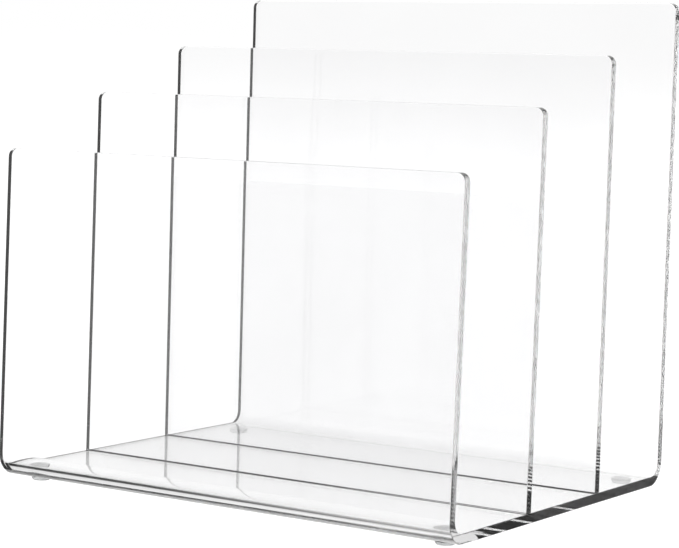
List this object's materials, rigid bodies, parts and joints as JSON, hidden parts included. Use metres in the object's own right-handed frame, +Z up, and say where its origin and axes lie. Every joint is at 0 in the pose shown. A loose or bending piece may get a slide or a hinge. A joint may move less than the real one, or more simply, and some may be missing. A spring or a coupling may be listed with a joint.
{
  "type": "magazine rack",
  "caption": "Stepped desktop magazine rack in clear acrylic: a heat-bent U sheet with upright dividers of rising height, open at both ends, on bumper feet.",
  "frame": {"origin": "on the table, under the middle of the rack's outline", "axes": "+X to the right seen from the low front wall, +Y towards the tall rear wall, +Z up"},
  "size_m": [0.305, 0.248, 0.2889],
  "materials": {
    "clear_acrylic": "clear, glossy, edges polished",
    "acrylic_cement": "clear, set cement",
    "clear_polyurethane": "clear, soft, slightly hazy",
    "foot_adhesive": "clear pressure-sensitive adhesive, slightly milky"
  },
  "bodies": {
    "root": {"bent_sheet": "clear_acrylic", "divider_front": "clear_acrylic", "divider_rear": "clear_acrylic", "divider_front_bond": "acrylic_cement", "divider_rear_bond": "acrylic_cement", "foot_front_left": "clear_polyurethane", "foot_front_right": "clear_polyurethane", "foot_rear_left": "clear_polyurethane", "foot_rear_right": "clear_polyurethane", "foot_adhesive_front_left": "foot_adhesive", "foot_adhesive_front_right": "foot_adhesive", "foot_adhesive_rear_left": "foot_adhesive", "foot_adhesive_rear_right": "foot_adhesive"}
  },
  "joints": []
}
